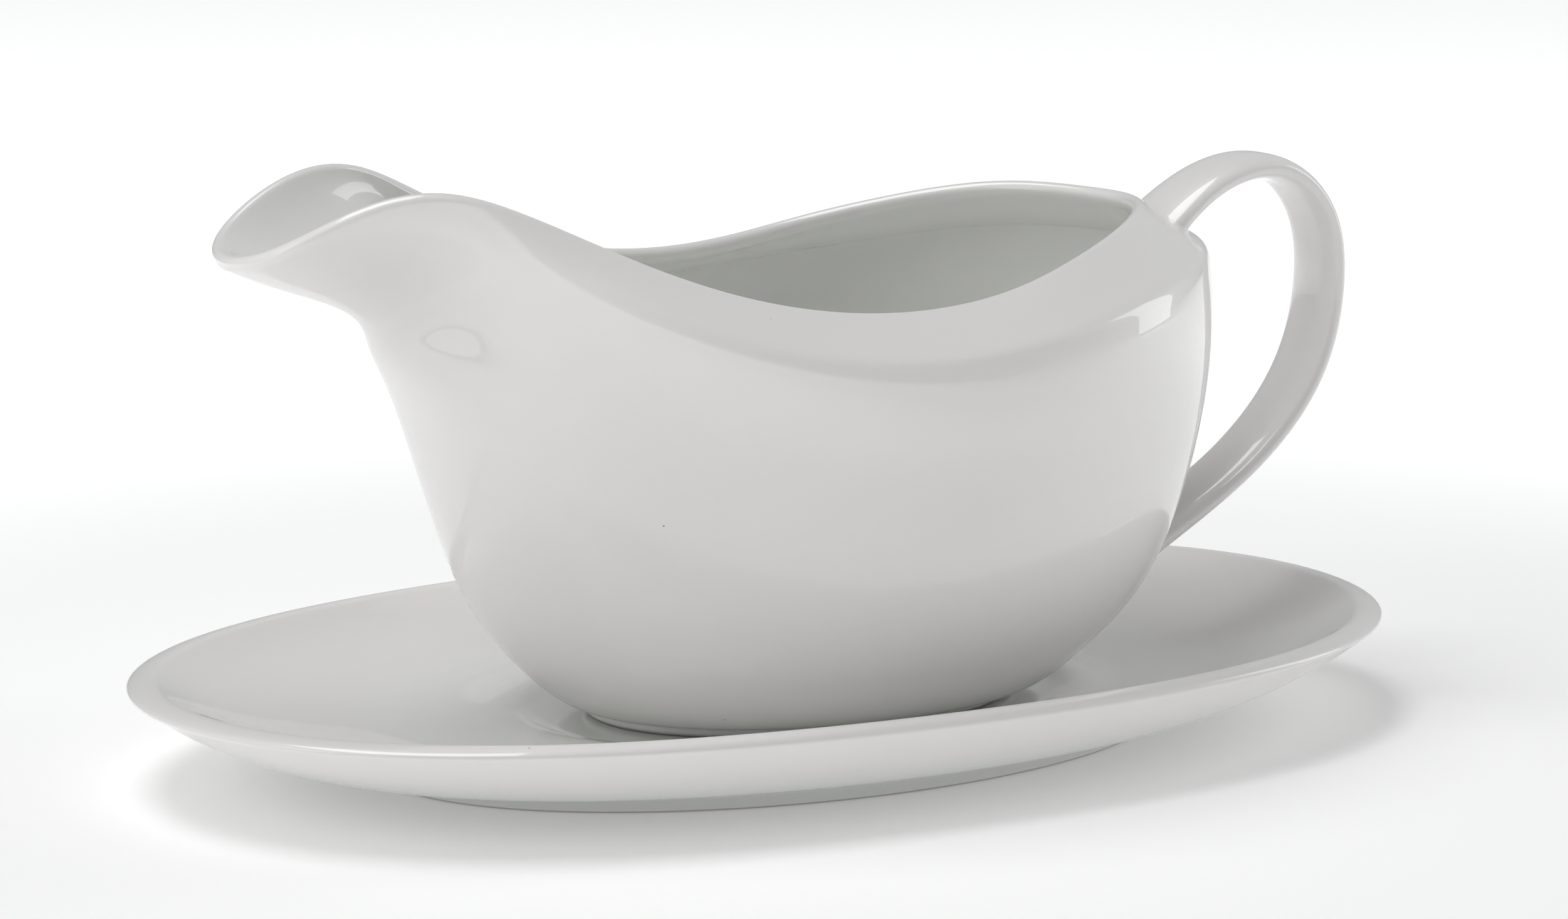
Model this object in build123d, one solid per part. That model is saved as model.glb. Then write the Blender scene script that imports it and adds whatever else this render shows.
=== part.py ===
from build123d import *
import os
import numpy as np

# Gravy boat on its oval saucer, glazed white porcelain. Millimetres.
# Origin: centre of the saucer's foot, on the table. The spout points to -X, the
# handle to +X, and the long plane of the ware is the XZ plane.

# ---- Saucer ---------------------------------------------------------------
saucer_length = 240.0
saucer_width = 144.4
saucer_height = 19.8          # table to the top of the lip
saucer_fullness = 0.13        # how much fuller than an ellipse the rim's ends are
lip_band = 4.0                # from the outer edge in to where the inner slope starts
lip_round = 1.4               # rounding of the lip's two edges
saucer_foot_length = 152.0
saucer_foot_width = 94.0
saucer_foot_band = 4.5        # width of the ring that the saucer stands on
tread_depth = 1.0             # height of the bare clay on either foot
saucer_underside = 2.6        # table to the flat underside within the foot
well_floor = 6.9              # table to the flat floor of the well
well_centre = 4.0             # the well lies a little towards the handle
well_length = 94.0            # the flat floor of the well
well_width = 69.0
well_ring_rise = 1.5          # height of the raised ring round the well
well_ring_foot = 13.0         # from the flat floor out to where the ring dies away

# ---- Boat -----------------------------------------------------------------
seat_gap = 0.1                # air between the boat's sole and the well
wall = 3.0
foot_front = -36.0            # the foot's ends, from the origin
foot_back = 46.5
foot_half_width = 29.0
foot_band = 4.5
foot_height = 1.6             # from the sole to where the body swells out
floor_thickness = 3.6
boat_height = 88.3            # sole to the mouth's edge at the handle
boat_front = -105.0           # tip of the spout
boat_back = 70.9              # mouth's edge at the handle
mouth_half_width = 45.1
belly_half_width = 60.5
belly_back = 81.5
belly_front = -70.0

# ---- Handle ---------------------------------------------------------------
strap_width = 15.0            # across the middle of the loop
strap_root_width = 19.0       # where it spreads onto the body
strap_thickness = 4.8
loop_reach = 116.0            # furthest the middle of the strap comes out

AROUND = 40                   # points round each ring that a wall is lofted through
STATIONS = np.linspace(0, np.pi, 9)     # from the handle (0) round to the spout (pi)


def ring_wire(points):
    """Closed smooth curve through the given points."""
    return Wire([Edge.make_spline([Vector(*p) for p in points], periodic=True)])


def loft(rings):
    """Closed solid through a stack of rings, flat across the first and the last."""
    return Solid.make_loft([ring_wire(ring) for ring in rings])


def oval(length, width, height, fullness=0.0, centre=0.0):
    """Points round a level oval: an ellipse, wider towards its ends by the fullness."""
    turn = np.linspace(0, 2 * np.pi, AROUND, endpoint=False)
    c, s = np.cos(turn), np.sin(turn)
    x = centre + length / 2 * c
    y = width / 2 * s * (1 + fullness * c ** 2)
    return np.stack([x, y, np.full(AROUND, height)], -1)


def oval_band(length, width, band, low, high, centre=0.0):
    """Upright ring of the given band width between two heights."""
    outer = Ellipse(length / 2, width / 2)
    inner = Ellipse(length / 2 - band, width / 2 - band)
    return Pos(centre, 0, low) * extrude(outer - inner, high - low)


# ---- Saucer ---------------------------------------------------------------
# A dished blank, hollowed by the broad concave slope, the raised ring and the flat
# well, then cut level at the lip and rounded there.
under = saucer_underside
rise = saucer_height - under
above = 3.0                   # how far the blank and the hollow run past the lip


def under_ring(outward, height, fullness_share):
    """Ring a share of the way from the foot (0) to the outer edge (1), from below."""
    length = saucer_foot_length + outward * (saucer_length - saucer_foot_length)
    width = saucer_foot_width + outward * (saucer_width - saucer_foot_width)
    return oval(length, width, height, saucer_fullness * fullness_share)


def slope_ring(outward, height):
    """Ring a share of the way up the inner slope, from the raised ring (0) to the lip (1)."""
    start = np.array([well_length + 2 * well_ring_foot, well_width + 2 * well_ring_foot, well_centre])
    end = np.array([saucer_length - 2 * lip_band, saucer_width - 2 * lip_band, 0])
    length, width, centre = start + outward * (end - start)
    return oval(length, width, height, saucer_fullness * outward, centre)


under_rings = [under_ring(outward, under + share * rise, full) for outward, share, full in (
    (-0.06, 0.0, 0.0), (0.10, 0.05, 0.15), (0.26, 0.11, 0.3), (0.43, 0.195, 0.45),
    (0.60, 0.33, 0.6), (0.76, 0.51, 0.75), (0.90, 0.715, 0.9), (1.02, 0.93, 1.0))]
under_rings.append(under_ring(1.02, saucer_height + above, 1.0))

hollow_rings = [oval(well_length + 2 * step * well_ring_foot, well_width + 2 * step * well_ring_foot,
                     well_floor + share * well_ring_rise, 0, well_centre)
                for step, share in ((0.0, 0.0), (0.2, 0.25), (0.4, 0.8), (0.6, 1.0), (0.8, 0.9))]
slope_rise = saucer_height - well_floor
hollow_rings += [slope_ring(outward, well_floor + share * slope_rise) for outward, share in (
    (0.0, 0.085), (0.15, 0.105), (0.3, 0.155), (0.45, 0.25), (0.6, 0.38), (0.75, 0.55),
    (0.88, 0.75), (1.0, 1.0))]
hollow_rings.append(slope_ring(1.06, saucer_height + above))

trim = Pos(0, 0, saucer_height + above) * Box(2 * saucer_length, 2 * saucer_width, 2 * above)
saucer_dish = loft(under_rings) - loft(hollow_rings) - trim
saucer_dish = fillet(saucer_dish.edges().group_by(Axis.Z)[-1], lip_round)
saucer_foot = oval_band(saucer_foot_length, saucer_foot_width, saucer_foot_band,
                        tread_depth, saucer_underside + 0.6)
saucer = saucer_dish + saucer_foot
saucer_foot_rim = oval_band(saucer_foot_length, saucer_foot_width, saucer_foot_band, 0, tread_depth)

# ---- Boat body ------------------------------------------------------------
# A lines plan: each ring is nine stations from the handle round to the spout, and
# the wall passes through the rings from the foot to the mouth.
sole = well_floor + seat_gap
mouth = sole + boat_height
mid = foot_back / 2 + foot_front / 2
cos_s, sin_s = np.cos(STATIONS), np.sin(STATIONS)


def hull_ring(front, back, half_width, centre, height, pinch=0.0, lift_front=0.0, lift_back=0.0):
    """Nine stations of an egg-shaped ring, pinched in behind the spout."""
    x = centre + np.where(cos_s > 0, back - centre, centre - front) * cos_s
    y = half_width * sin_s * (1 - pinch * np.exp(-((cos_s + 0.63) / 0.3) ** 2))
    z = height + np.where(cos_s > 0, lift_back, lift_front) * cos_s ** 2
    return np.stack([x, y, z], -1)


# Mouth: level at the handle, lowest at the sides, two wings beside the spout.
mouth_reach = np.where(cos_s > 0, boat_back - 8.0, 8.0 - boat_front) * cos_s + 8.0
mouth_width = mouth_half_width * np.array([0, 0.32, 0.687, 0.938, 1, 0.831, 0.561, 0.375, 0])
mouth_height = mouth + np.array([0, 0.2, -1.4, -6.3, -11, -4.7, 10.1, 2.9, -2.8])
mouth_line = np.stack([mouth_reach, mouth_width, mouth_height], -1)

# Belly: from the foot, out to the widest ring under the shoulder.
belly_top = hull_ring(belly_front, belly_back, belly_half_width, 7, sole + 53, 0.12, 5, 3)
hull = [
    hull_ring(foot_front, foot_back, foot_half_width, mid, sole + foot_height),
    hull_ring(foot_front - 4, foot_back + 5, foot_half_width + 5.5, mid, sole + foot_height + 1.4),
    hull_ring(0.665 * belly_front, 0.725 * belly_back, 0.68 * belly_half_width, 4, sole + 8, 0.05),
    hull_ring(0.795 * belly_front, 0.855 * belly_back, 0.82 * belly_half_width, 5, sole + 19, 0.08),
    hull_ring(0.89 * belly_front, 0.94 * belly_back, 0.94 * belly_half_width, 6, sole + 35, 0.10),
    belly_top,
]
# Shoulder: between belly and mouth the wall stands out by this much, in plan, at
# each station. At the spout it falls inside the straight line, as a flare.
shoulder = np.array([9.5, 9, 9.5, 10.5, 12, 10, -2, -12, -10.5])
along = np.gradient(mouth_line[:, :2], axis=0)
along[0], along[-1] = (0, 1), (0, -1)
outward = np.stack([along[:, 1], -along[:, 0]], -1)
outward /= np.linalg.norm(outward, axis=1, keepdims=True)
outward[7] = (-0.8, 0.6)
for share, fullness in ((0.43, 0.75), (0.70, 1.0), (0.86, 0.4)):
    ring = belly_top + share * (mouth_line - belly_top)
    ring[:, :2] += outward * (shoulder * fullness)[:, None]
    hull.append(ring)
lip_run = mouth_line - hull[-1]
lip_run /= np.linalg.norm(lip_run, axis=1, keepdims=True)
hull.append(mouth_line - wall / 2 * lip_run)
hull = np.array(hull)
hull[:, [0, -1], 1] = 0

ring_gaps = np.linalg.norm(np.diff(hull, axis=0), axis=-1).mean(1)
levels = np.concatenate([[0], np.cumsum(ring_gaps)]) / ring_gaps.sum()
turn = np.linspace(0, 2 * np.pi, AROUND, endpoint=False)


def between_rings(at):
    """Stations at any level: a natural cubic spline from ring to ring."""
    n, gap = len(levels), np.diff(levels)
    system, right = np.eye(n), np.zeros(hull.shape)
    slope = np.diff(hull, axis=0) / gap[:, None, None]
    for i in range(1, n - 1):
        system[i, i - 1:i + 2] = gap[i - 1], 2 * (gap[i - 1] + gap[i]), gap[i]
        right[i] = 6 * (slope[i] - slope[i - 1])
    bend = np.linalg.solve(system, right.reshape(n, -1)).reshape(hull.shape)
    i = min(int(np.searchsorted(levels, at, side="right")) - 1, n - 2)
    t, h = at - levels[i], gap[i]
    first = slope[i] - h * (2 * bend[i] + bend[i + 1]) / 6
    return hull[i] + t * (first + t * (bend[i] / 2 + t * (bend[i + 1] - bend[i]) / (6 * h)))


def outside(at, angle=turn):
    """Ring of points on the outer wall: cosine series in x and z, sine series in y."""
    stations = between_rings(at)
    order = np.arange(9)
    even = np.cos(np.outer(angle, order)) @ np.linalg.inv(np.cos(np.outer(STATIONS, order)))
    odd = np.sin(np.outer(angle, order[1:8])) @ np.linalg.inv(np.sin(np.outer(STATIONS[1:8], order[1:8])))
    return np.stack([even @ stations[:, 0], odd @ stations[1:8, 1], even @ stations[:, 2]], -1)


def inward(at):
    """Unit normals into the wall, and the direction up the wall, at a level."""
    step = 1e-4
    low, high = max(at - step, 0), min(at + step, 1)
    up = outside(high) - outside(low)
    ahead = outside(at, turn + step) - outside(at, turn - step)
    normal = np.cross(up, ahead)
    return (normal / np.linalg.norm(normal, axis=1, keepdims=True),
            up / np.linalg.norm(up, axis=1, keepdims=True))


outer_levels = [0, levels[1], levels[2], levels[3]]
outer_levels += list(np.linspace(levels[3], levels[6], 8)[1:])
outer_levels += list(np.linspace(levels[6], 1, 9)[1:])
outer_rings = [outside(at) for at in outer_levels]

edge_in, edge_up = inward(1.0)
edge_mid = outside(1.0) + wall / 2 * edge_in
lip_rings = [edge_mid + wall / 2 * (np.sin(a) * edge_up - np.cos(a) * edge_in)
             for a in np.radians((45, 90, 135))]

inner_start = 0.13
inner_levels = [at for at in reversed(outer_levels) if at > inner_start]
inner_rings = [outside(at) + wall * inward(at)[0] for at in inner_levels]
cavity_floor = sole + foot_height + floor_thickness
basin_length = foot_back - foot_front + 10
basin_width = 2 * foot_half_width + 8
inner_rings.append(oval(basin_length, basin_width, cavity_floor + 1.4, centre=mid))
inner_rings.append(oval(basin_length - 16, basin_width - 14, cavity_floor + 0.2, centre=mid))
inner_rings.append(oval(basin_length - 30, basin_width - 26, cavity_floor, centre=mid))

vessel = loft(outer_rings + lip_rings + inner_rings)
foot_length = foot_back - foot_front
boat_foot = oval_band(foot_length - 0.6, 2 * foot_half_width - 0.6, foot_band - 0.3, sole + tread_depth,
                      sole + foot_height + 0.6, mid)
boat_body = vessel + boat_foot
boat_foot_rim = oval_band(foot_length, 2 * foot_half_width, foot_band, sole, sole + tread_depth, mid)

# ---- Handle ---------------------------------------------------------------
# A strap with rounded edges, carried round the loop. Its ends run into the wall,
# and what is inside the vessel is cut away, so it meets the wall face to face.
upper_root = mouth - 7.8
strap_line = Edge.make_spline([Vector(x, 0, z) for x, z in (
    (boat_back + 6.5, upper_root - 1),
    (boat_back + 0.42 * (loop_reach - boat_back), mouth + 0.2),
    (loop_reach - 12, mouth + 2.0),
    (loop_reach - 2.6, mouth - 6),
    (loop_reach, mouth - 20),
    (loop_reach - 4.2, mouth - 36.5),
    (loop_reach - 15, mouth - 50),
    (loop_reach - 29.5, mouth - 60.2),
    (belly_back - 10, mouth - 68),
)])


def strap_section(share):
    """Rounded strap section across the loop: wider and thicker near either root."""
    root = abs(2 * share - 1) ** 6
    width = strap_width + (strap_root_width - strap_width) * root
    thickness = strap_thickness * (1 + 0.35 * root)
    turn = np.linspace(0, 2 * np.pi, 24, endpoint=False)
    c, s = np.cos(turn), np.sin(turn)
    across = width / 2 * np.sign(c) * abs(c) ** 0.8
    through = thickness / 2 * np.sign(s) * abs(s) ** 0.9
    middle = strap_line.position_at(share)
    run = strap_line.tangent_at(share)
    normal = Vector(run.Z, 0, -run.X)
    return [tuple(middle + Vector(0, 1, 0) * a + normal * t) for a, t in zip(across, through)]


strap = loft([strap_section(share) for share in np.linspace(0, 1, 21)])
handle = (strap - boat_body).solids().sort_by(SortBy.VOLUME)[-1]

# ---- Write one file per piece -----------------------------------------------
os.makedirs("parts", exist_ok=True)
pieces = {
    "boat_body": boat_body,
    "handle": handle,
    "boat_foot_rim": boat_foot_rim,
    "saucer": saucer,
    "saucer_foot_rim": saucer_foot_rim,
}
for name, piece in pieces.items():
    piece.label = name
    export_step(piece, f"parts/{name}.step")
    box = piece.bounding_box()
    print(name, piece.is_valid, round(piece.volume), box.min, box.max)
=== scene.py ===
import bpy
import numpy as np
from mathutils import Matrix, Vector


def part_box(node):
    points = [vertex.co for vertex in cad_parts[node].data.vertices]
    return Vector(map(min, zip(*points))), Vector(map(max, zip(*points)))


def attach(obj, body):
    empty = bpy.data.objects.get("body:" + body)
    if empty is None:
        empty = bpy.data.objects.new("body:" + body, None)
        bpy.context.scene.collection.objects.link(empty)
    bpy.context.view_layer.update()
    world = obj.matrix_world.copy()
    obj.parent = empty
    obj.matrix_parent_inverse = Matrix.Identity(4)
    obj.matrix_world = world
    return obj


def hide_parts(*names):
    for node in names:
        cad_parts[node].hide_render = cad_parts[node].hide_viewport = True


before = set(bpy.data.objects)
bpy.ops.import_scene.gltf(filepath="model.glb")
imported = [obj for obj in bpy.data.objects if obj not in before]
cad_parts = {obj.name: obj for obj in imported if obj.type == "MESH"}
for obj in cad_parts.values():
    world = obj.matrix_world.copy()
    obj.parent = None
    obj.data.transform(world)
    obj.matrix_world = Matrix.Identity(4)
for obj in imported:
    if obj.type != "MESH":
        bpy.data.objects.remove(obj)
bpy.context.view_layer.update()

# ---- Studio ------------------------------------------------------------------
# A white tent on a white sweep: softboxes overhead and at either side, walls that glow a
# little, and a floor that glows as painted light, dimly near the ware and more further
# out. The lens is long and set low.
scene = bpy.context.scene
scene.view_settings.view_transform = "Standard"


def aimed(name, data, place, target):
    """Put a camera or light at a place and turn its -Z axis to the target."""
    thing = bpy.data.objects.new(name, data)
    scene.collection.objects.link(thing)
    thing.location = place
    away = thing.location - type(thing.location)(target)
    thing.rotation_euler = away.to_track_quat("Z", "Y").to_euler()
    return thing


lens = bpy.data.cameras.new("long_lens")
lens.lens = 111.8
lens.sensor_width = 36.0
lens.clip_start = 0.05
lens_place = (-0.4013, -0.7528, 0.2088)
lens_target = (0.01644, 0.02739, 0.045)
scene.camera = aimed("camera", lens, lens_place, lens_target)

lit_point = (0.0, 0.0, 0.05)
for name, place, size, power in (
    ("overhead_softbox", (-0.30, 0.15, 1.3), (1.0, 0.6), 7.5),
    ("right_softbox", (1.2, -0.15, 0.45), (0.35, 0.9), 2.0),
    ("left_softbox", (-1.3, -0.2, 0.5), (0.4, 0.9), 1.5),
):
    softbox = bpy.data.lights.new(name, "AREA")
    softbox.shape = "RECTANGLE"
    softbox.size, softbox.size_y = size
    softbox.energy = power
    aimed(name, softbox, place, lit_point)


class Value:
    """A node socket that takes arithmetic, so shader maths reads as formulas."""

    def __init__(self, maker, socket):
        self.maker, self.socket = maker, socket

    def _math(self, operation, other, swap=False):
        pair = (other, self) if swap else (self, other)
        return self.maker.node("Math", {"operation": operation}, {0: pair[0], 1: pair[1]})

    def __add__(self, other):
        return self._math("ADD", other)

    def __radd__(self, other):
        return self._math("ADD", other, True)

    def __sub__(self, other):
        return self._math("SUBTRACT", other)

    def __rsub__(self, other):
        return self._math("SUBTRACT", other, True)

    def __mul__(self, other):
        return self._math("MULTIPLY", other)

    def __rmul__(self, other):
        return self._math("MULTIPLY", other, True)

    def __pow__(self, other):
        return self._math("POWER", other)

    def __gt__(self, other):
        return self._math("GREATER_THAN", other)

    def __lt__(self, other):
        return self._math("LESS_THAN", other)


class Nodes:
    """The node maker of one material or world."""

    def __init__(self, data, shader):
        data.use_nodes = True
        self.data, self.tree = data, data.node_tree
        self.shader = self.tree.nodes[shader]

    def plug(self, socket, value):
        if isinstance(value, Value):
            self.tree.links.new(value.socket, socket)
        else:
            socket.default_value = value

    def node(self, kind, settings=None, values=None, out=0):
        made = self.tree.nodes.new("ShaderNode" + kind)
        for key, setting in (settings or {}).items():
            setattr(made, key, setting)
        for key, value in (values or {}).items():
            self.plug(made.inputs[key], value)
        return Value(self, made.outputs[out])

    def mix(self, share, low, high):
        made = self.tree.nodes.new("ShaderNodeMix")
        made.data_type = "RGBA"
        for index, value in ((0, share), (6, low), (7, high)):
            self.plug(made.inputs[index], value)
        return Value(self, made.outputs[2])


room = Nodes(bpy.data.worlds.new("white_tent"), "Background")
looking = room.node("TexCoord")
wall_falloff = 6.0
glow = 0.10
for panel, strength in (
    ((-0.71, 0.0, 0.71), 0.75), ((0.97, -0.1, 0.24), 0.65), ((0.60, 0.76, 0.25), 0.4),
    ((-0.60, 0.76, 0.25), 0.25), ((0.44, -0.86, 0.25), 0.2), ((-0.97, 0.0, 0.24), 0.2),
):
    facing = room.node("VectorMath", {"operation": "DOT_PRODUCT"}, {0: looking, 1: panel}, out=1)
    glow = strength * room.node("Math", {"operation": "MAXIMUM"}, {0: facing, 1: 0.0}) ** wall_falloff + glow
room.plug(room.shader.inputs["Strength"], glow)
room.shader.inputs["Color"].default_value = (0.985, 1.0, 1.0, 1.0)
scene.world = room.data

sweep_reach = 3.0
floor_mesh = bpy.data.meshes.new("floor")
floor_mesh.from_pydata([(x * sweep_reach, y * sweep_reach, 0.0) for x, y in
                        ((-1, -1), (1, -1), (1, 1), (-1, 1))], [], [(0, 1, 2, 3)])
sweep = Nodes(bpy.data.materials.new("white_sweep"), "Principled BSDF")
distance = sweep.node("VectorMath", {"operation": "LENGTH"}, {
    0: sweep.node("TexCoord", out=3)}, out=1)
# Painted light: the floor glows by its own emission, dim near the ware and brighter further out, to light
# the ware from low down.
sweep_glow = sweep.node("MapRange", {"interpolation_type": "SMOOTHSTEP"}, {
    "Value": distance, "From Min": 0.18, "From Max": 0.5, "To Min": 0.14, "To Max": 0.50})
sweep.shader.inputs["Base Color"].default_value = (0.97, 0.97, 0.97, 1.0)
sweep.shader.inputs["Roughness"].default_value = 1.0
sweep.shader.inputs["Specular IOR Level"].default_value = 0.0
sweep.plug(sweep.shader.inputs["Emission Color"], sweep.mix(sweep_glow, (0, 0, 0, 1), (1, 1, 1, 1)))
sweep.shader.inputs["Emission Strength"].default_value = 1.0
floor_mesh.materials.append(sweep.data)
floor = bpy.data.objects.new("floor", floor_mesh)
scene.collection.objects.link(floor)


# ---- Saucer ------------------------------------------------------------------
# An oval underplate pressed in one piece: a low foot, a shallow dished underside, a
# thick rounded lip, a broad slope, and a raised ring round the flat well. White
# porcelain, glazed all over but for its sole.
def glaze(name, seed):
    """White porcelain under a clear glaze: a touch warm where it is thin and cool green-grey
    where it pools, and painted lighter there too, as painted light for light through
    the thin porcelain; with faint waves and a few pinholes. The seed moves their pattern."""
    m = Nodes(bpy.data.materials.new(name), "Principled BSDF")
    place = m.node("Mapping", {}, {
        "Vector": m.node("TexCoord", out=3), "Location": (seed, 2 * seed, -seed)})
    cloud = m.node("TexNoise", {}, {"Vector": place, "Scale": 22.0, "Detail": 2.0, "Roughness": 0.5})
    waves = m.node("TexNoise", {}, {"Vector": place, "Scale": 55.0, "Detail": 1.0})
    peel = m.node("TexNoise", {}, {"Vector": place, "Scale": 700.0, "Detail": 2.0})
    pool_and_glow = m.node("Attribute", {"attribute_name": "pool_and_glow"}, out=2)
    cells = {"Vector": place, "Scale": 120.0}
    cell = m.node("TexVoronoi", {}, cells, out=0)
    pick = m.node("TexVoronoi", {}, cells, out=1)
    whole_cells, pinhole_radius = 0.93, 0.022
    rare = m.node("SeparateColor", {}, {0: pick}) > whole_cells
    pinhole = rare * (cell < pinhole_radius)
    tone = m.mix(cloud, (0.865, 0.842, 0.836, 1), (0.875, 0.862, 0.855, 1))
    # Pooled glaze: its green-grey tint is its own colour; its lightness over the base is painted light for
    # light glowing through the thin wall and bouncing inside.
    tone = m.mix(pool_and_glow, tone, (0.895, 0.93, 0.885, 1))
    tone = m.mix(pinhole * 0.75, tone, (0.16, 0.14, 0.12, 1))
    m.plug(m.shader.inputs["Base Color"], tone)
    m.plug(m.shader.inputs["Roughness"], 0.42 - 0.1 * cloud)
    m.shader.inputs["IOR"].default_value = 1.5
    m.shader.inputs["Coat Weight"].default_value = 1.0
    m.shader.inputs["Coat Roughness"].default_value = 0.035
    m.shader.inputs["Coat IOR"].default_value = 1.52
    height = waves * 1.0 + peel * 0.02 - pinhole * 0.15
    bump = m.node("Bump", {}, {"Height": height, "Strength": 0.35, "Distance": 0.0004})
    m.plug(m.shader.inputs["Normal"], bump)
    return m.data


def shell(name, rings, body, material, replaces, start=None, end=None, closed=False, pool_and_glow=None):
    """Mesh through rings (level, around, xyz), joined level to level and all the way
    round. start and end are pole points; closed joins the last ring to the first;
    pool_and_glow is how thick the glaze lies at each level, and how much painted light
    lightens it there."""
    levels, around = rings.shape[:2]
    points = rings.reshape(-1, 3)
    ring = np.arange(around)
    low = np.arange(levels if closed else levels - 1)[:, None] * around
    high = (low + around) % (levels * around)
    following = (ring + 1) % around
    faces = np.stack([low + ring, low + following, high + following, high + ring], -1).reshape(-1, 4)
    quads = faces.tolist()
    level_shade = np.zeros(levels) if pool_and_glow is None else pool_and_glow
    shade = np.repeat(level_shade, around)
    if start is not None:
        points = np.vstack([points, start])
        shade = np.append(shade, shade[0])
        pole = np.full(around, len(points) - 1)
        quads += np.stack([pole, following, ring], -1).tolist()
    if end is not None:
        points = np.vstack([points, end])
        shade = np.append(shade, shade[(levels - 1) * around])
        pole = np.full(around, len(points) - 1)
        top = (levels - 1) * around
        quads += np.stack([pole, top + ring, top + following], -1).tolist()
    mesh = bpy.data.meshes.new(name)
    mesh.from_pydata(points.tolist(), [], quads)
    mesh.attributes.new("pool_and_glow", "FLOAT", "POINT").data.foreach_set("value", shade.astype(np.float32))
    mesh.polygons.foreach_set("use_smooth", np.ones(len(mesh.polygons), bool))
    mesh.materials.append(material)
    piece = bpy.data.objects.new(name, mesh)
    scene.collection.objects.link(piece)
    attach(piece, body)
    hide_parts(*replaces)


def through(knots, values, at):
    """Natural cubic spline through values (knot, ...) at the knots, read at 'at'."""
    flat = values.reshape(len(knots), -1)
    gap, n = np.diff(knots), len(knots)
    slope = np.diff(flat, axis=0) / gap[:, None]
    system, right = np.eye(n), np.zeros(flat.shape)
    for i in range(1, n - 1):
        system[i, i - 1:i + 2] = gap[i - 1], 2 * (gap[i - 1] + gap[i]), gap[i]
        right[i] = 6 * (slope[i] - slope[i - 1])
    bend = np.linalg.solve(system, right)
    i = np.clip(np.searchsorted(knots, at, side="right") - 1, 0, n - 2)
    t, h = (at - knots[i])[:, None], gap[i][:, None]
    first = slope[i] - h * (2 * bend[i] + bend[i + 1]) / 6
    curve = flat[i] + t * (first + t * (bend[i] / 2 + t * (bend[i + 1] - bend[i]) / (6 * h)))
    return curve.reshape((len(at),) + values.shape[1:])


def unit(vectors):
    """Vectors at length one."""
    return vectors / np.linalg.norm(vectors, axis=-1, keepdims=True)


def smooth_step(x):
    """Eases from 0 to 1 as x goes from 0 to 1."""
    x = np.clip(x, 0, 1)
    return x * x * (3 - 2 * x)


AROUND = 288
turn = np.linspace(0, 2 * np.pi, AROUND, endpoint=False)

_, saucer_high = map(np.array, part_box("saucer"))
_, foot_high = map(np.array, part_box("saucer_foot_rim"))
boat_low, boat_high = map(np.array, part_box("boat_foot_rim"))
half_length, half_width = saucer_high[0], saucer_high[1]
foot_half_length, foot_half_width = foot_high[0], foot_high[1]
lip_top = saucer_high[2]
seat_gap = 0.0001
well_floor = boat_low[2] - seat_gap
well_centre = 0.004
well_half_length, well_half_width = 0.047, 0.0345
fullness = 0.13


def level_rings(half_x, half_y, height, full=0.0, centre=0.0):
    """Level ovals, one per height: x = centre + a cos t, y = b sin t (1 + f cos^2 t)."""
    a, b, z, f, m = (np.asarray(v, float)[..., None] * np.ones(AROUND) for v in
                     np.broadcast_arrays(half_x, half_y, height, full, centre))
    return np.stack([m + a * np.cos(turn), b * np.sin(turn) * (1 + f * np.cos(turn) ** 2), z], -1)


def profile(rows, count):
    """Rings through rows of (half length, half width, height, fullness, centre), evenly spaced."""
    rows = np.array(rows, float)
    knots = np.append(0, np.cumsum(np.linalg.norm(np.diff(rows[:, :3], axis=0), axis=1)))
    row = through(knots, rows, np.linspace(0, knots[-1], count))
    return level_rings(*row.T)


ring_foot = 0.013
ring_rise = 0.0015
lip_band = 0.004
slope_rise = lip_top - well_floor
well_rows = [(well_half_length + share * ring_foot, well_half_width + share * ring_foot,
              well_floor + height * ring_rise, 0, well_centre)
             for share, height in ((0.0, 0.0), (0.2, 0.25), (0.4, 0.8), (0.6, 1.0), (0.8, 0.9))]
for outward, share in ((0.0, 0.085), (0.15, 0.105), (0.3, 0.155), (0.45, 0.25), (0.6, 0.38),
                       (0.75, 0.55), (0.88, 0.75), (0.97, 0.925)):
    well_rows.append((
        well_half_length + ring_foot + outward * (half_length - lip_band - well_half_length - ring_foot),
        well_half_width + ring_foot + outward * (half_width - lip_band - well_half_width - ring_foot),
        well_floor + share * slope_rise, fullness * outward, well_centre * (1 - outward)))
inside = profile(well_rows, 110)
under = 0.0026
under_rise = lip_top - under
under_rows = [(foot_half_length + outward * (half_length - foot_half_length),
               foot_half_width + outward * (half_width - foot_half_width),
               under + share * under_rise, fullness * full, 0)
              for outward, share, full in (
                  (0.985, 0.86, 1.0), (0.90, 0.715, 0.9), (0.76, 0.51, 0.75), (0.60, 0.33, 0.6),
                  (0.43, 0.195, 0.45), (0.26, 0.11, 0.3), (0.10, 0.05, 0.15), (0.015, 0.022, 0.0))]
underside = profile(under_rows, 80)


def arch(start, end, out_a, out_b, count, lift):
    """Rounded edge between two rings: a cubic that leaves along out_a and arrives along
    -out_b, with handles 'lift' long. The two ends aren't repeated."""
    t = np.linspace(0, 1, count + 2)[1:-1, None, None]
    a, b = start + lift * unit(out_a), end + lift * unit(out_b)
    return (1 - t) ** 3 * start + 3 * t * (1 - t) ** 2 * a + 3 * t ** 2 * (1 - t) * b + t ** 3 * end


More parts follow.
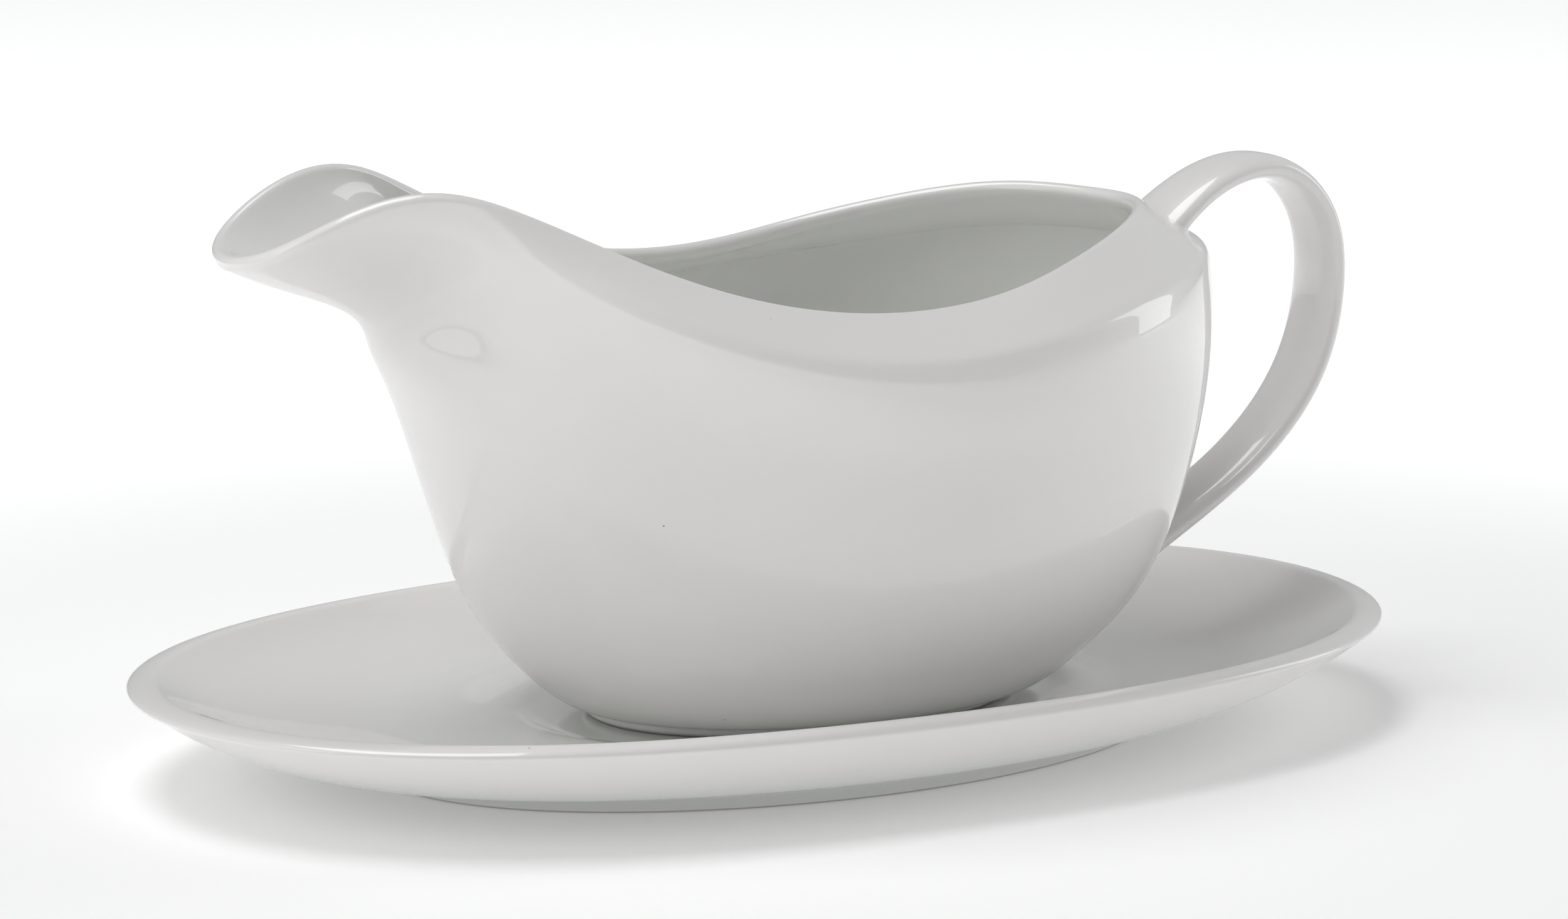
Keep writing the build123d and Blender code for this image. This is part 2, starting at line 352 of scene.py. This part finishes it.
lip_roundness = 0.0021
lip = arch(inside[-1], underside[0], inside[-1] - inside[-2], underside[0] - underside[1],
           18, lip_roundness)
foot_band = 0.0045
glaze_edge = 0.0004
foot_rows = np.array([(0, 0.0021), (0, 0.0013), (0.0001, 0.0008), (0.0005, glaze_edge),
                      (foot_band - 0.0005, glaze_edge), (foot_band - 0.0001, 0.0009),
                      (foot_band + 0.0002, 0.0016), (foot_band + 0.0009, 0.0023),
                      (foot_band + 0.0025, under)])
foot_wall = level_rings(foot_half_length - foot_rows[:, 0], foot_half_width - foot_rows[:, 0],
                        foot_rows[:, 1])
base_disc = level_rings(np.linspace(0.062, 0.004, 12), np.linspace(0.033, 0.002, 12), under)
well_disc = level_rings(np.linspace(0.003, well_half_length, 14)[:-1],
                        np.linspace(0.002, well_half_width, 14)[:-1], well_floor, 0, well_centre)
plate = np.concatenate([well_disc, inside, lip, underside, foot_wall, base_disc])
# The glaze gathers low down, and thins out over the first few millimetres of the slope;
# there it is also painted lighter, as painted light for light through the thin porcelain.
deepest_pool_and_glow = 0.55
pool_and_glow_rise = 0.004
plate_pool_and_glow = deepest_pool_and_glow * (1 - smooth_step((plate[:, 0, 2] - well_floor) / pool_and_glow_rise))
plate = plate[:, ::-1]
shell("saucer_ware", plate, "saucer", glaze("saucer_glaze", 3.1), ["saucer"],
      start=(well_centre, 0, well_floor), end=(0, 0, under), pool_and_glow=plate_pool_and_glow)

# ---- Saucer's tread ------------------------------------------------------------
# The sole of the saucer's foot, wiped free of glaze so that it can't stick to the
# kiln shelf: a narrow oval of bare clay, its edges rubbed round.
def bare_clay(name):
    """Fired clay with no glaze on it: matt, faintly sandy, a little grey from use."""
    m = Nodes(bpy.data.materials.new(name), "Principled BSDF")
    place = m.node("TexCoord", out=3)
    grain = m.node("TexNoise", {}, {"Vector": place, "Scale": 1600.0, "Detail": 4.0})
    scuff = m.node("TexNoise", {}, {"Vector": place, "Scale": 90.0, "Detail": 3.0})
    tone = m.mix(grain, (0.60, 0.58, 0.54, 1), (0.70, 0.685, 0.65, 1))
    m.plug(m.shader.inputs["Base Color"], m.mix(scuff * 0.5, tone, (0.52, 0.50, 0.47, 1)))
    m.plug(m.shader.inputs["Roughness"], 0.7 + 0.2 * grain)
    m.plug(m.shader.inputs["Normal"], m.node("Bump", {}, {
        "Height": grain, "Strength": 0.5, "Distance": 0.0001}))
    return m.data


tread_rows = np.array([(0.0007, 0.00045), (0.0007, 0.0002), (0.0010, 0.00004), (0.0014, 0.0),
                       (foot_band - 0.0014, 0.0), (foot_band - 0.0010, 0.00004),
                       (foot_band - 0.0007, 0.0002), (foot_band - 0.0007, 0.00045)])
tread = level_rings(foot_half_length - tread_rows[:, 0], foot_half_width - tread_rows[:, 0],
                    tread_rows[:, 1])
clay = bare_clay("bare_porcelain")
shell("saucer_tread", tread[:, ::-1], "saucer", clay, ["saucer_foot_rim"], closed=True)

# ---- Boat body -----------------------------------------------------------------
# One thin wall, cast in a mould: oval foot, full belly, soft shoulder with a collar
# leaning in to the mouth, and a long spout that flares into two wings. White porcelain,
# glazed inside and out.
sole = boat_low[2]
boat_height = 0.0883
mouth_level = sole + boat_height
stations = np.linspace(0, np.pi, 9)
cos_s, sin_s = np.cos(stations), np.sin(stations)
wall = 0.003
middle = (boat_low[0] + boat_high[0]) / 2
boat_foot_x, boat_foot_y = (boat_high[0] - boat_low[0]) / 2, boat_high[1]


def hull_ring(front, back, half, centre, height, pinch=0.0, lift_front=0.0, lift_back=0.0):
    """Nine stations of an egg-shaped ring, pinched in behind the spout."""
    x = centre + np.where(cos_s > 0, back - centre, centre - front) * cos_s
    y = half * sin_s * (1 - pinch * np.exp(-((cos_s + 0.63) / 0.3) ** 2))
    z = height + np.where(cos_s > 0, lift_back, lift_front) * cos_s ** 2
    return np.stack([x, y, z], -1)


tip, heel, mouth_half, mouth_middle = -0.105, 0.0709, 0.0451, 0.008
mouth_line = np.stack([
    mouth_middle + np.where(cos_s > 0, heel - mouth_middle, mouth_middle - tip) * cos_s,
    mouth_half * np.array([0, 0.32, 0.687, 0.938, 1, 0.831, 0.561, 0.375, 0]),
    mouth_level + 0.001 * np.array([0, 0.2, -1.4, -6.3, -11, -4.7, 10.0, 2.9, -2.8])], -1)
belly_front, belly_back, belly_half = -0.070, 0.0815, 0.0605
belly_top = hull_ring(belly_front, belly_back, belly_half, 0.007, sole + 0.053, 0.12, 0.005, 0.003)
hull = [
    hull_ring(boat_low[0], boat_high[0], boat_foot_y, middle, sole + 0.0016),
    hull_ring(boat_low[0] - 0.004, boat_high[0] + 0.005, boat_foot_y + 0.0055, middle, sole + 0.003),
    hull_ring(0.665 * belly_front, 0.725 * belly_back, 0.68 * belly_half, 0.004, sole + 0.008, 0.05),
    hull_ring(0.795 * belly_front, 0.855 * belly_back, 0.82 * belly_half, 0.005, sole + 0.019, 0.08),
    hull_ring(0.89 * belly_front, 0.94 * belly_back, 0.94 * belly_half, 0.006, sole + 0.035, 0.10),
    belly_top,
]
shoulder = 0.001 * np.array([9.5, 9, 9.5, 10.5, 12, 10, -2, -12, -10.5])
along = np.gradient(mouth_line[:, :2], axis=0)
along[0], along[-1] = (0, 1), (0, -1)
outward = unit(np.stack([along[:, 1], -along[:, 0]], -1))
outward[7] = (-0.8, 0.6)
# Past the belly the wall turns in over a crease, which is crisp round the back and the
# sides and melts away before the spout.
crisp = np.array([1, 1, 1, 1, 1, 0.6, 0, 0, 0])
shares = np.array([0.43, 0.66, 0.75, 0.81, 0.90])
sharp_full = np.array([0.74, 1.01, 1.03, 0.80, 0.42])
soft_full = through(np.array([0, 0.43, 0.70, 0.86, 1]), np.array([0, 0.75, 1, 0.4, 0]), shares)
for share, sharp, soft in zip(shares, sharp_full, soft_full):
    ring = belly_top + share * (mouth_line - belly_top)
    ring[:, :2] += outward * (shoulder * (soft + crisp * (sharp - soft)))[:, None]
    hull.append(ring)
hull.append(mouth_line - wall / 2 * unit(mouth_line - hull[-1]))
hull = np.array(hull)
hull[:, [0, -1], 1] = 0
gaps = np.linalg.norm(np.diff(hull, axis=0), axis=-1).mean(1)
levels = np.append(0, np.cumsum(gaps)) / gaps.sum()
order = np.arange(9)
even_fit = np.linalg.inv(np.cos(np.outer(stations, order)))
odd_fit = np.linalg.inv(np.sin(np.outer(stations[1:8], order[1:8])))


def outside(at, angle):
    """Points on the outer wall at matching levels and angles: a cubic spline from ring
    to ring, and round each ring a cosine series in x and z and a sine series in y."""
    lines = through(levels, hull, at)
    even = np.cos(angle[:, None] * order) @ even_fit
    odd = np.sin(angle[:, None] * order[1:8]) @ odd_fit
    return np.stack([(even * lines[..., 0]).sum(-1), (odd * lines[:, 1:8, 1]).sum(-1),
                     (even * lines[..., 2]).sum(-1)], -1)


def outside_grid(at):
    """Rings of the outer wall, with unit normals into the wall and directions up it."""
    level, angle = (v.ravel() for v in np.meshgrid(at, turn, indexing="ij"))
    step = 1e-4    # a nearby level and angle, to read slopes from
    points = outside(level, angle)
    up = unit(outside(np.minimum(level + step, 1), angle) - outside(np.maximum(level - step, 0), angle))
    ahead = outside(level, angle + step) - outside(level, angle - step)
    inward = unit(np.cross(up, ahead))
    shape = (len(at), AROUND, 3)
    return points.reshape(shape), inward.reshape(shape), up.reshape(shape)


outer_levels, inner_levels = 150, 112
outer, _, _ = outside_grid(np.linspace(0, 1, outer_levels))
edge, edge_in, edge_up = outside_grid(np.array([1.0]))
bow = np.linspace(0, np.pi, 20)[1:-1, None, None]
rim = edge + wall / 2 * (edge_in + np.sin(bow) * edge_up - np.cos(bow) * edge_in)
floor_turn = 0.14    # the level where the inside leaves the wall for the floor
inner_at, inner_in, _ = outside_grid(np.linspace(1, floor_turn, inner_levels))
inner = inner_at + wall * inner_in
recess_top = sole + 0.0016
cavity_floor = sole + 0.0052
basin = level_rings(0.5 * boat_foot_x, 0.5 * boat_foot_y, cavity_floor, 0, middle)
basin_run = inner[-1] - inner[-2]
bottom_roundness = 0.012
bottom = arch(inner[-1], basin, basin_run, (inner[-1] - basin) * (1, 1, 0), 26, bottom_roundness)
disc_shares = np.linspace(0.48, 0.05, 10)
disc = level_rings(disc_shares * boat_foot_x, disc_shares * boat_foot_y, cavity_floor, 0, middle)
boat_foot_rows = np.array([(foot_band + 0.003, 0.0016), (foot_band + 0.0008, 0.00145),
                           (foot_band + 0.0001, 0.001), (foot_band - 0.0001, 0.0007),
                           (foot_band - 0.0004, glaze_edge),
                           (0.0004, glaze_edge), (0.0001, 0.0007), (0.0, 0.001), (0.0, 0.0013)])
boat_foot = level_rings(boat_foot_x - boat_foot_rows[:, 0], boat_foot_y - boat_foot_rows[:, 0],
                        sole + boat_foot_rows[:, 1], 0, middle)
recess = level_rings(np.linspace(0.06, 0.8, 10) * boat_foot_x, np.linspace(0.06, 0.75, 10) * boat_foot_y,
                     recess_top, 0, middle)
vessel = np.concatenate([recess, boat_foot, outer, rim, inner, bottom, basin[None], disc])
# Thicker glaze low on the outside and on the foot, and over the whole inside, most at the bottom; these
# zones are also painted lighter, as painted light for light through the thin wall and bouncing inside.
vessel_pool_and_glow = np.concatenate([
    np.full(len(recess) + len(boat_foot), 0.5),
    deepest_pool_and_glow * (1 - smooth_step(np.linspace(0, 1, len(outer)) / 0.16)),
    np.zeros(len(rim)),
    np.linspace(0.25, 0.7, len(inner) + len(bottom) + 1 + len(disc))])
shell("boat_ware", vessel, "boat", glaze("boat_glaze", 0.7), ["boat_body"],
      start=(middle, 0, recess_top), end=(middle, 0, cavity_floor), pool_and_glow=vessel_pool_and_glow)

# ---- Boat's tread ----------------------------------------------------------------
# The sole of the boat's foot, wiped free of glaze for the kiln like the saucer's: a
# narrow oval of bare clay, which rests in the saucer's well.
boat_tread = level_rings(boat_foot_x - tread_rows[:, 0], boat_foot_y - tread_rows[:, 0],
                         sole + tread_rows[:, 1], 0, middle)
shell("boat_tread", boat_tread[:, ::-1], "boat", clay, ["boat_foot_rim"], closed=True)

# ---- Handle ------------------------------------------------------------------------
# A strap of clay with rounded edges, bent into a loop, stuck on with slip and glazed. It
# is a little wider and thicker towards its roots, and its ends run into the wall.
reach = 0.116
loop_line = np.array([
    (heel + 0.0065, mouth_level - 0.0088), (heel + 0.42 * (reach - heel), mouth_level + 0.0002),
    (reach - 0.012, mouth_level + 0.002), (reach - 0.0026, mouth_level - 0.006),
    (reach, mouth_level - 0.020), (reach - 0.0042, mouth_level - 0.0365),
    (reach - 0.015, mouth_level - 0.050), (reach - 0.0295, mouth_level - 0.0602),
    (belly_back - 0.010, mouth_level - 0.068)])
loop_knots = np.append(0, np.cumsum(np.linalg.norm(np.diff(loop_line, axis=0), axis=1)))
loop_at = np.linspace(0, loop_knots[-1], 161)
loop = through(loop_knots, loop_line, loop_at)
run = unit(np.gradient(loop, axis=0))
share = loop_at / loop_knots[-1]
root = np.abs(2 * share - 1) ** 6
strap_half = 0.0075 + 0.002 * root
strap_thick = 0.0024 * (1 + 0.35 * root)
round_turn = np.linspace(0, 2 * np.pi, 72, endpoint=False)
c, s = np.cos(round_turn), np.sin(round_turn)
across = strap_half[:, None] * np.sign(c) * np.abs(c) ** 0.8
thick = strap_thick[:, None] * np.sign(s) * np.abs(s) ** 0.9
strap = np.stack([loop[:, :1] + run[:, 1:] * thick, across, loop[:, 1:] - run[:, :1] * thick], -1)
shell("handle_strap", strap[:, ::-1], "boat", glaze("handle_glaze", 5.3), ["handle"],
      start=(loop[0, 0], 0, loop[0, 1]), end=(loop[-1, 0], 0, loop[-1, 1]))
